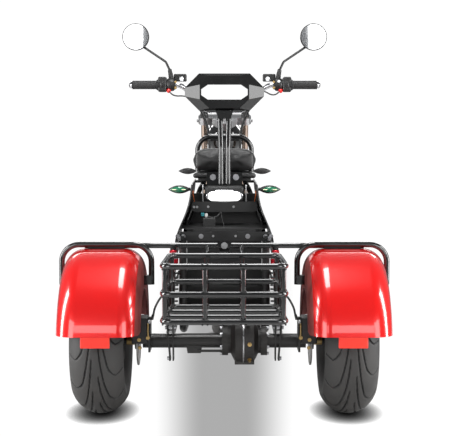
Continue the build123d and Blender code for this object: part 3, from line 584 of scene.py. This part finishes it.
def hose(name, points, radius, material, ribs=0.0, body="chassis"):
    """A smooth round hose through millimetre points, plain or with ribs at a pitch in millimetres."""
    drawn = bpy.data.curves.new(name, "CURVE")
    drawn.dimensions = "3D"
    drawn.resolution_u = 10
    path = along_path(drawn, "NURBS", [at(*point) for point in points])
    path.order_u = 3
    path.use_endpoint_u = True
    if ribs:
        run = np.array([v.co[:] for v in drawn_mesh(name, drawn).vertices])
        far = np.concatenate([[0], np.cumsum(np.linalg.norm(np.diff(run, axis=0), axis=1))])
        count = int(far[-1] * 1000 / ribs) * 2 + 1
        even = [np.interp(np.linspace(0, far[-1], count), far, run[:, k]) for k in range(3)]
        drawn.splines.clear()
        path = along_path(drawn, "POLY", list(zip(*even)))
        for knot in list(path.points)[::2]:
            knot.radius = 0.78
    drawn.bevel_depth = radius / 1000
    drawn.bevel_resolution = 3
    drawn.use_fill_caps = True
    mesh = drawn_mesh(name, drawn)
    turn_outward(mesh)
    return piece(name, mesh, body, material, smooth=60)


def on_side(sign, *points):
    """Points given for the right side, moved to the left one where the sign is negative."""
    return [(sign * x, ahead, up) for x, ahead, up in points]


for sign, side in both_sides:
    outward = (sign, 0, 0)
    pins = on_side(sign, (290, -104, 272), (260, -106, 279), (290, -70, 238))
    bolts(f"caliper_bolts_{side}", [at(*pin) for pin in pins], rearward, 4.5, 6, brass)
    pins = on_side(sign, (200, 0, 296), (176, 0, 296), (192, -14, 190))
    bolts(f"clevis_bolts_{side}", [at(*pin) for pin in pins], [outward, (-sign, 0, 0), outward], 6.5, 7)
    turned(f"stub_sleeve_{side}", [(12.5, 0), (14.5, 0), (15, 2), (15, 26), (13.5, 28), (12.5, 28)],
           facing(at(sign * 313, 0, 250), outward), brass, f"rear_wheel_{side}")
    hose(f"caliper_pin_{side}", on_side(sign, (259, -106, 282), (260, -107, 305), (259, -106, 329)), 2.6, brass)
    hose(f"brake_hose_{side}", on_side(sign, (247, -66, 341), (243, -64, 352), (240, -58, 372), (228, -30, 395),
                                       (216, 12, 408), (198, 60, 424), (170, 100, 446), (163, 128, 478)),
         3.6, hose_rubber)
    hose(f"hose_crimp_{side}", on_side(sign, (248, -66, 335), (247, -66, 342), (244, -65, 352)), 5.0,
         black_enamel)

# ---- rear shocks -------------------------------------------------------------
# Silver dampers with black steel coils round them. Each has a red anodised ring and cap turned
# from bar at its top, and a silver seat for the coil at its foot.
red_cap = finish("red_cap", (0.62, 0.015, 0.03), (0.45, 0.008, 0.02), 0.22, 0.12, grain=1400, metal=0.75,
                 coat=0.5)
spring_black = finish("spring_black", 0.006, 0.010, 0.28, 0.14, grain=700, coat=0.3)
dress(alloy, "shocks")
dress(spring_black, "shock_springs")
shock_ring = [(8, 0), (17.5, 0), (19.5, 2), (19.5, 20), (17.5, 22), (15.5, 22.5), (15.5, 29), (13, 31), (8, 31)]
shock_cap = [(6, -1), (11.8, -1), (12.8, 1), (12.8, 13), (11, 15), (6, 15)]
shock_seat = [(8, -1), (23.8, -1), (24.5, 1), (24.5, 5), (22, 7), (8, 7)]
for sign, side in both_sides:
    top, foot = at(sign * 178, 8, 566), at(sign * 188, 0, 296)
    up_shock = (top - foot).normalized()
    ring = turned(f"shock_ring_{side}", shock_ring, facing(top - up_shock * 0.050, up_shock), red_cap)
    cap = turned(f"shock_cap_{side}", shock_cap, facing(top - up_shock * 0.014, up_shock), red_cap)
    turned(f"shock_seat_{side}", shock_seat, facing(foot + up_shock * 0.024, up_shock), alloy)

# ---- main frame --------------------------------------------------------------
# Welded steel tube in satin black, with a head tube at the front. The foot board, battery box and
# body skins bolt to it.
dress(frame_black, "main_frame", "seat_hinge")

# ---- foot board and battery box ----------------------------------------------
# A moulded foot board with a ribbed rubber mat, and a battery box of black plastic with ribs across
# its rear face.
plain_plastic = finish("plain_plastic", 0.010, 0.016, 0.44, 0.14, grain=1100, depth=0.0004, dust=0.22)
mat_rubber = finish("mat_rubber", 0.020, (0.032, 0.031, 0.030), 0.62, 0.12, grain=600, depth=0.0004, dust=0.3)
dress(plain_plastic, "foot_deck", "battery_box", "tail_tray")


def bar_tree():
    """A row of bars: one on each point, lying across."""
    tree, given = tree_for("mat_bars", ("Length", "Float", 0.25), ("Width", "Float", 0.006),
                           ("Height", "Float", 0.003))
    size = step(tree, "ShaderNodeCombineXYZ", {"X": given["Length"], "Y": given["Width"], "Z": given["Height"]})
    bar = step(tree, "GeometryNodeMeshCube", {"Size": size.outputs["Vector"], "Vertices X": 2, "Vertices Y": 2,
                                              "Vertices Z": 2})
    return close_tree(tree, given, bar.outputs["Mesh"])


mat_bars = bar_tree()
deck_low, deck_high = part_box("foot_deck")
box_low, box_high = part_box("battery_box")
mat_rows = [Vector((0, y, deck_high.z + 0.001))
            for y in np.arange(deck_low.y + 0.03, deck_high.y - 0.09, 0.014)]
box_rows = [Vector((0, box_low.y - 0.001, z))
            for z in np.arange(box_low.z + 0.03, box_high.z - 0.08, 0.022)]
for name, rows, length, width, height, material in (
        ("foot_mat", mat_rows, 0.28, 0.007, 0.004, mat_rubber),
        ("battery_ribs", box_rows, 0.24, 0.006, 0.006, plain_plastic)):
    settings = {"Length": length, "Width": width, "Height": height, "Material": material}
    grow(name, mat_bars, settings, rows)

# ---- body sides --------------------------------------------------------------
# Two moulded skins of grained black plastic over the frame's sides. Each is folded once along
# its length, and leans in to the seat.
skin_plastic = finish("skin_plastic", 0.008, 0.013, 0.34, 0.12, grain=1500, depth=0.0003, coat=0.15,
                      coat_rough=0.3)
dress(skin_plastic, "side_panels")

# ---- tail channel, blank plate and tray --------------------------------------
# A folded steel channel across the tail with bolts, and a blank black plate on two rivets. A dark
# cover closes the bay below, and the tray above it holds two plugs with their leads.
dress(frame_black, "tail_channel")
dress(black_enamel, "blank_plate")
plate_low, plate_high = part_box("blank_plate")
bolts("channel_bolts", [Vector((x, plate_high.y, 0.606)) for x in (-0.083, 0.083)], rearward, 6, 6)
bolts("plate_rivets", [Vector((x, plate_low.y, 0.607)) for x in (-0.040, 0.040)], rearward, 3, 2, alloy, 16)
upright = Matrix.Rotation(math.pi / 2, 4, "X")
half, low, high = 0.1345, -0.088, 0.042
cover = plate("inner_cover", [(-half, low), (half, low), (half, high), (-half, high)], 0.003,
              Matrix.Translation(at(0, 142, 590)) @ upright, plain_plastic)
ends = [at(sign * x, ahead, up) for sign, _ in both_sides
        for x, ahead, up in ((146, 92, 606), (158, 96, 598), (166, 104, 606))]
bolts("channel_end_bolts", ends, rearward, 5.5, 6)
bar_bolts = [at(-112, 256, 699), at(-101, 256, 699), at(34, 256, 700), at(-60, 256, 700)]
bolts("bar_bolts", bar_bolts, rearward, 3, 2.5, alloy, 12)


def rounded_block(name, low, high, round_edge, segments):
    """The mesh of a round-edged block between two corners."""
    work = bmesh.new()
    bmesh.ops.create_cube(work, size=1.0)
    bmesh.ops.scale(work, vec=high - low, verts=work.verts)
    bmesh.ops.translate(work, vec=(high + low) / 2, verts=work.verts)
    bmesh.ops.bevel(work, geom=work.edges[:], offset=round_edge, segments=segments, profile=0.5, affect="EDGES")
    mesh = bpy.data.meshes.new(name)
    work.to_mesh(mesh)
    work.free()
    return mesh


teal = finish("teal_plug", (0.01, 0.32, 0.34), (0.02, 0.24, 0.28), 0.4)
white_plug = finish("white_plug", (0.80, 0.80, 0.78), (0.68, 0.68, 0.66), 0.45)
orange_wire = finish("orange_wire", (0.75, 0.16, 0.02), (0.60, 0.12, 0.02), 0.4)
for name, low, high, material in (("teal_socket", (-86, 236, 666), (-74, 252, 678), teal),
                                  ("white_socket", (-72, 238, 662), (-62, 254, 676), white_plug)):
    piece(name, rounded_block(name, at(*low), at(*high), 0.002, 2), "chassis", material)
hose("lamp_lead", [(-66, 244, 668), (-52, 240, 660), (-34, 240, 661), (-18, 246, 672), (-12, 262, 684)], 3.6,
     hose_rubber)
hose("plate_lead", [(-12, 250, 680), (-10, 236, 664), (-3, 190, 640), (4, 140, 616), (10, 96, 594)], 1.5,
     hose_rubber)
for sign, side in both_sides:
    lead = on_side(sign, (116, 284, 758), (117, 282, 746), (114, 284, 732), (112, 290, 716))
    hose(f"indicator_lead_{side}", lead, 1.6, orange_wire)
    hose(f"lamp_stay_{side}", on_side(sign, (80, 286, 780), (80, 286, 750), (80, 286, 716)), 2.8, alloy)

# ---- tail lamp ---------------------------------------------------------------
# An oval lamp on the dark lamp panel: a white moulded lens, lit by itself, in a chromed surround
# that is cut from plate with a rounded edge.
lens_white = finish("lens_white", 0.92, (0.82, 0.82, 0.84), 0.08, 0.08, grain=120, depth=0.0006, coat=1.0)
chrome = finish("chrome", (0.80, 0.80, 0.81), (0.70, 0.70, 0.72), 0.05, 0.06, metal=1.0, depth=0.00005)


def glowing(material, colour, strength):
    """Lets a lens shine by itself: the lamps with their own light, and the reflectors with a painted glow."""
    feed(material.node_tree, material.node_tree.nodes["Principled BSDF"],
         {"Emission Color": rgba(colour), "Emission Strength": strength})


def oval(half_length, half_width, count=64):
    """Points round a slim oval with round ends."""
    return [(half_length * math.copysign(abs(math.cos(a)) ** 0.8, math.cos(a)),
             half_width * math.copysign(abs(math.sin(a)) ** 0.9, math.sin(a)))
            for a in np.arange(count) * 2 * math.pi / count]


glowing(lens_white, 1.0, 1.6)
dress(lens_white, "tail_lamp")
lamp_low, lamp_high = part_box("tail_lamp")
lamp_place = Matrix.Translation((0, lamp_low.y + 0.010, (lamp_low.z + lamp_high.z) / 2)) @ upright
plate("lamp_surround", oval(0.066, 0.0205), 0.008, lamp_place, chrome, 0.0025)

# ---- rear indicators ---------------------------------------------------------
# Slim pods of black plastic on rubber stems. Each has a rounded bowl behind, and a green moulded
# lens over a row of yellow diodes.
lens_green = finish("lens_green", (0.010, 0.16, 0.075), (0.006, 0.11, 0.05), 0.12, 0.08, grain=260,
                    depth=0.0005, coat=1.0)
diode = finish("diode", (0.95, 0.90, 0.62), (0.90, 0.82, 0.50), 0.3)
glowing(diode, (1, 0.9, 0.55), 0.5)
dress(plain_plastic, "rear_indicators", "front_indicators")
dress(lens_green, "indicator_lenses")
pod_low, pod_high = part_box("indicator_lenses")
pod_z, pod_y, pod_x = (pod_low.z + pod_high.z) / 2, pod_low.y, pod_high.x - 0.035
bowl, glass = ([(max(swell * (1 - t * t) + rim, 0.2), half * t) for t in np.linspace(-1, 1, 17)]
               for swell, rim, half in ((14.2, 1.2, 41.5), (11.8, 0, 34)))
for sign, side in both_sides:
    for name, profile, x, y, material in (("bowl", bowl, pod_x - 0.001, pod_y + 0.0095, plain_plastic),
                                          ("glass", glass, pod_x + 0.001, pod_y + 0.0035, lens_green)):
        turned(f"indicator_{name}_{side}", profile, facing(Vector((sign * x, y, pod_z)), (1, 0, 0)), material,
               count=32)
    row = [(sign * (pod_x * 1000 + t), (pod_y - axle_y) * 1000 - 7.5 + 0.004 * t * t, pod_z * 1000)
           for t in (-24, 0, 26)]
    hose(f"indicator_diodes_{side}", row, 1.2, diode)

# ---- rear fenders ------------------------------------------------------------
# Pressed steel arches over the rear tyres, in candy red lacquer over a bright base. The inside
# and the inboard face have a dull undercoat.
candy_red = finish("candy_red", (0.80, 0.003, 0.002), (0.68, 0.002, 0.002), 0.22, 0.06, grain=300, depth=0.0001,
                   blotch=3, metal=0.25, coat=1.0, coat_rough=0.03, bump=0.1)


def undercoat(material, centre, colour):
    """Gives the inside of each arch a dull undercoat: the faces whose normal points at the wheel."""
    tree = material.node_tree
    surface = tree.nodes["Principled BSDF"]
    place = split(tree, step(tree, "ShaderNodeTexCoord").outputs["Object"])
    normal = split(tree, step(tree, "ShaderNodeNewGeometry").outputs["True Normal"])
    across = calc(tree, "MULTIPLY", normal["X"], calc(tree, "SIGN", place["X"]))
    spot, aim = (step(tree, "ShaderNodeCombineXYZ", {"X": x, "Y": rest["Y"], "Z": rest["Z"]}).outputs["Vector"]
                 for x, rest in ((calc(tree, "ABSOLUTE", place["X"]), place), (across, normal)))
    reach = step(tree, "ShaderNodeVectorMath", {0: spot, 1: centre}, operation="SUBTRACT").outputs["Vector"]
    outwards = step(tree, "ShaderNodeVectorMath", {0: reach, 1: aim}, operation="DOT_PRODUCT").outputs["Value"]
    inside = calc(tree, "MAXIMUM", calc(tree, "LESS_THAN", outwards, 0.0), calc(tree, "LESS_THAN", across, -0.8))
    recolour(material, inside, colour)
    gloss = surface.inputs["Roughness"].links[0].from_socket
    rough = step(tree, "ShaderNodeMix", {"Factor": inside, 2: gloss, 3: 0.6}).outputs[0]
    feed(tree, surface, {"Roughness": rough, "Coat Weight": remap(tree, inside, 0, 1, 1, 0)})


undercoat(candy_red, (0.415, axle_y, axle_z), (0.20, 0.035, 0.03))
dress(candy_red, "rear_fenders")

# ---- reflectors --------------------------------------------------------------
# Red moulded prism reflectors. Each hangs on a tab under the rear edge of its fender, and is given a
# little painted glow, as a reflector makes no light of its own.
reflector_red = finish("reflector_red", (0.90, 0.035, 0.015), (0.80, 0.02, 0.01), 0.35, grain=500, depth=0.0008,
                       coat=0.2)
# A painted glow: the reflector's emission stands in for the light it sends back.
glowing(reflector_red, (1, 0.03, 0.012), 0.12)
dress(reflector_red, "reflectors")

# ---- guard hoops, crossbar and basket ----------------------------------------
# Bent steel tube in gloss black lacquer. The basket is welded from thinner tube, with small beads at
# the crossings of its rear face, and hangs on the bar.
gloss_black = finish("gloss_black", 0.004, 0.007, 0.12, 0.06, grain=260, depth=0.0001, coat=1.0,
                     coat_rough=0.04, bump=0.15)
dress(gloss_black, "guard_frame", "basket", "grab_hoop", "backrest_frame", "back_panel")


def weld_tree():
    """A small rounded bead of weld on every point."""
    tree, given = tree_for("weld_beads", ("Size", "Float", 0.004))
    bead = step(tree, "GeometryNodeMeshIcoSphere", {"Radius": given["Size"], "Subdivisions": 2})
    return close_tree(tree, given, bead.outputs["Mesh"])


rear_face = (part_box("basket")[0].y - axle_y) * 1000
spots = [at(x + dx, rear_face + depth, z + dz)
         for across, depth, half_x, half_z in ((60, 3.5, 8, 8.5), (186, 12, 7, 9))
         for x in (-across, across) for z in (385, 472, 560)
         for dx in (-half_x, half_x) for dz in (-half_z, half_z)]
welds = grow("basket_welds", weld_tree(), {"Size": 0.0032, "Material": gloss_black}, spots, smooth=60)
bolts("lug_bolt", [at(0, 3, 583)], rearward, 8, 6, alloy)

# ---- seat --------------------------------------------------------------------
# Two foam cushions covered in black leather on a plastic tray, with a padded roll under the rear
# edge. The covers are swelled as cloth, so their sides and tops are full and soft.
leather = finish("leather", 0.012, 0.020, 0.34, 0.14, grain=420, depth=0.0009, blotch=14, bump=0.5)
dress(plain_plastic, "seat_tray")


def pad(name, low, high, round_edge, crown, pressure, travel, cad_node=None, voxel=0.005):
    """A foam pad: a round-edged block, swelled by cloth under pressure and capped in its travel."""
    made = put(name, rounded_block(name, low, high, round_edge, 6))
    remesh = made.modifiers.new("remesh", "REMESH")
    remesh.mode, remesh.voxel_size = "VOXEL", voxel
    made.data = evaluated(made)
    made.modifiers.clear()
    start = np.array([v.co[:] for v in made.data.vertices])
    cloth = made.modifiers.new("cloth", "CLOTH").settings
    cloth.quality = 5
    cloth.use_pressure = True
    cloth.uniform_pressure_force = pressure
    cloth.effector_weights.gravity = 0
    cloth.tension_stiffness = cloth.compression_stiffness = 40
    for number in range(1, 21):
        bpy.context.scene.frame_set(number)
    held = evaluated(made)
    made.modifiers.clear()
    made.data = held
    bpy.context.scene.frame_set(1)
    now = np.array([v.co[:] for v in made.data.vertices])
    if len(now) == len(start):
        move = now - start
        length = np.linalg.norm(move, axis=1, keepdims=True)
        now = start + move * np.minimum(1, travel / np.maximum(length, 1e-9))
    middle, half = np.array((high + low) / 2), np.array(high - low) / 2
    inset = np.clip(1 - ((now - middle) / half) ** 2, 0, 1)
    now[:, 2] += crown * inset[:, 0] * inset[:, 1] * (now[:, 2] > middle[2])  # a crown on the top only
    now[:, 2] = np.maximum(now[:, 2], low.z)
    made.data.vertices.foreach_set("co", now.ravel())
    finer = made.modifiers.new("round", "SUBSURF")
    finer.levels = finer.render_levels = 1
    made.data.shade_smooth()
    made.data.materials.clear()
    made.data.materials.append(leather)
    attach(made, "seat")
    if cad_node:
        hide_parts(cad_node)


seat_low, seat_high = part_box("rear_cushion")
rider_low, rider_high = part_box("front_cushion")
pad("rear_pad", Vector((seat_low.x + 0.004, seat_low.y + 0.004, seat_high.z - 0.076)),
    seat_high - Vector((0.004, 0.003, 0.004)), 0.020, 0.004, 4, 0.006, "rear_cushion")
pad("seat_roll", seat_low + Vector((-0.001, 0.001, -0.006)),
    Vector((seat_high.x + 0.001, seat_high.y - 0.02, seat_low.z + 0.014)), 0.009, 0, 2, 0.003, voxel=0.004)
pad("front_pad", rider_low + Vector((0.004, 0.003, 0.002)), rider_high - Vector((0.004, 0.004, 0.004)),
    0.024, 0.006, 4, 0.006, "front_cushion")

# ---- backrest ----------------------------------------------------------------
# Two close steel poles under a gloss black back panel with a hand hole. Two bolts hold them to a
# plate behind the seat.
bolts("backrest_bolts", [at(-43, 322, 806), at(43, 322, 806)], rearward, 8, 7)

# ---- fork --------------------------------------------------------------------
# Silver cast clamps on tinted chrome stanchions over black sliders. A black cap closes each
# stanchion, and a pinch bolt at each clamp holds it.
fork_chrome = finish("fork_chrome", (0.72, 0.56, 0.46), (0.64, 0.49, 0.40), 0.08, 0.06, grain=700, metal=1.0,
                     depth=0.00005)
dress(alloy, "fork_clamps")
dress(fork_chrome, "fork_stanchions")
dress(black_enamel, "fork_lowers")
dress(gloss_black, "front_fender", "headlamp")
rake, fork_foot, fork_foot_up = math.radians(26), 1380, 238
up_fork = Vector((0, -math.sin(rake), math.cos(rake)))


def on_fork(x, distance):
    """A place across the fork, at a distance up from its axle in millimetres."""
    return at(x, fork_foot - distance * math.sin(rake), fork_foot_up + distance * math.cos(rake))


for sign, side in both_sides:
    turned(f"stanchion_cap_{side}", [(0, -2), (16.5, -2), (17.2, 2), (17.2, 10), (15, 13), (0, 14)],
           facing(on_fork(sign * 88.5, 893), up_fork), black_enamel, "steering", 32)
    for distance in (868, 662):
        bolts(f"pinch_bolt_{side}_{distance}", [on_fork(sign * 113, distance)], (sign, 0, 0), 6, 8, alloy,
              body="steering")

# ---- headlamp ----------------------------------------------------------------
# A black bowl with a moulded clear lens over a bright reflector. It is carried by the fork, so it
# turns with the bar.
lens_clear = finish("lens_clear", (0.80, 0.82, 0.84), (0.70, 0.72, 0.75), 0.05, 0.06, grain=90, depth=0.0008,
                    coat=1.0, metal=0.6)
dress(lens_clear, "headlamp_lens")

# ---- handlebar and controls --------------------------------------------------
# A chromed bar with ribbed grips and, on each side, a round switch housing with a red button, a
# reservoir with a sight glass and a lever. Cables and ribbed sleeves run down to the fork.
control_plastic = finish("control_plastic", 0.008, 0.014, 0.36, 0.16, grain=1400, depth=0.0004)
grip_rubber = finish("grip_rubber", 0.012, 0.020, 0.55, 0.12, depth=0.0005)
button_red = finish("button_red", (0.85, 0.02, 0.015), (0.75, 0.015, 0.01), 0.3, coat=0.5)
rocker_white = finish("rocker_white", (0.85, 0.86, 0.88), (0.75, 0.76, 0.78), 0.25, coat=0.5)
dress(chrome, "handlebar")
dress(grip_rubber, "grips")
dress(control_plastic, "switch_housings", "brake_levers", "mirrors")
bar_ahead, bar_up = 930, 1170
ridges = [(18.5 if k % 2 else 17.8, 8 + 3.5 * k) for k in range(28)]
ribbed_grip = [(11.5, 0), (22.5, 0), (22.5, 4), (18.5, 6), *ridges, (18.5, 104), (17, 107), (11.5, 107)]
bar_end = [(0, 0), (13.5, 0), (15, 3), (14, 9), (9, 14), (0, 15.5)]
drum = [(11.5, 0), (21, 0), (26, 4), (27.5, 12), (27.5, 26), (25, 31), (22.5, 33), (22.5, 36), (27, 40),
        (29, 48), (29, 56), (26.5, 60), (26.5, 62), (29, 64), (29, 68), (24, 72), (11.5, 72)]
button = [(0, 0), (9, 0), (9, 6), (7.5, 9), (0, 10)]
sight_glass = [(0, 0), (9.5, 0), (9.5, 2), (7.5, 4), (0, 4)]
boot = [(5.5, -4), (10.5, -4), (11.5, 4), (10.5, 10), (11, 14), (9.8, 20), (10.2, 24), (8.8, 32), (8, 44),
        (5.5, 46)]
for sign, side in both_sides:
    for name, profile, place, aim, material, count in (
            ("ribbed_grip", ribbed_grip, (284, 0, 0), (sign, 0, 0), grip_rubber, 40),
            ("bar_end", bar_end, (391.5, 0, 0), (sign, 0, 0), chrome, 32),
            ("switch_drum", drum, (212, 0, 1), (sign, 0, 0), control_plastic, 40),
            ("red_button", button, (237, -14, -23), (0, -0.7, -0.7), button_red, 28),
            ("sight_glass", sight_glass, (184, 20.2, 26), rearward, rocker_white, 28),
            ("mirror_boot", boot, (226, 8, 22), (sign * 0.165, 0, 1), grip_rubber, 28)):
        x, ahead, up = place
        set_at = facing(at(sign * x, bar_ahead + ahead, bar_up + up), aim)
        made = turned(f"{name}_{side}", profile, set_at, material, "steering", count)
    lever_bolts = [at(sign * 208, bar_ahead - 18, bar_up + up) for up in (12, -12)]
    bolts(f"lever_bolts_{side}", lever_bolts, rearward, 3.6, 4, brass, body="steering")
    sleeve = on_side(sign, (128, 936, 1112), (112, 938, 1084), (96, 940, 1050), (78, 944, 1010), (68, 958, 966),
                     (66, 980, 920), (66, 1004, 870), (60, 1028, 820))
    hose(f"ribbed_sleeve_{side}", sleeve, 6.0, hose_rubber, 3.2, "steering")
turned("rocker_switch", [(0, 0), (6.2, 0), (5.8, 3), (0, 4)],
       facing(at(229, bar_ahead - 26, bar_up + 14), (0, -1, 0.3)), rocker_white, "steering", 20)
throttle_path = [(233, 912, 1144), (222, 904, 1130), (198, 902, 1126), (172, 912, 1142), (150, 930, 1146),
                 (128, 952, 1116), (96, 972, 1066), (60, 990, 1010)]
switch_path = [(-236, 912, 1144), (-226, 904, 1130), (-204, 902, 1122), (-178, 912, 1124), (-150, 934, 1118),
               (-112, 958, 1080), (-72, 980, 1030), (-56, 1000, 980)]
hose("throttle_cable", throttle_path, 3.0, hose_rubber, body="steering")
hose("switch_cable", switch_path, 3.0, hose_rubber, body="steering")

# ---- mirrors -----------------------------------------------------------------
# Round silvered glasses in black shells on bent stems. The shells and stems have the controls'
# black plastic, given above.
mirror_glass = finish("mirror_glass", (0.92, 0.93, 0.94), (0.90, 0.91, 0.92), 0.02, 0.02, grain=40, metal=1.0,
                      depth=0.00002, bump=0.0)
dress(mirror_glass, "mirror_glass")
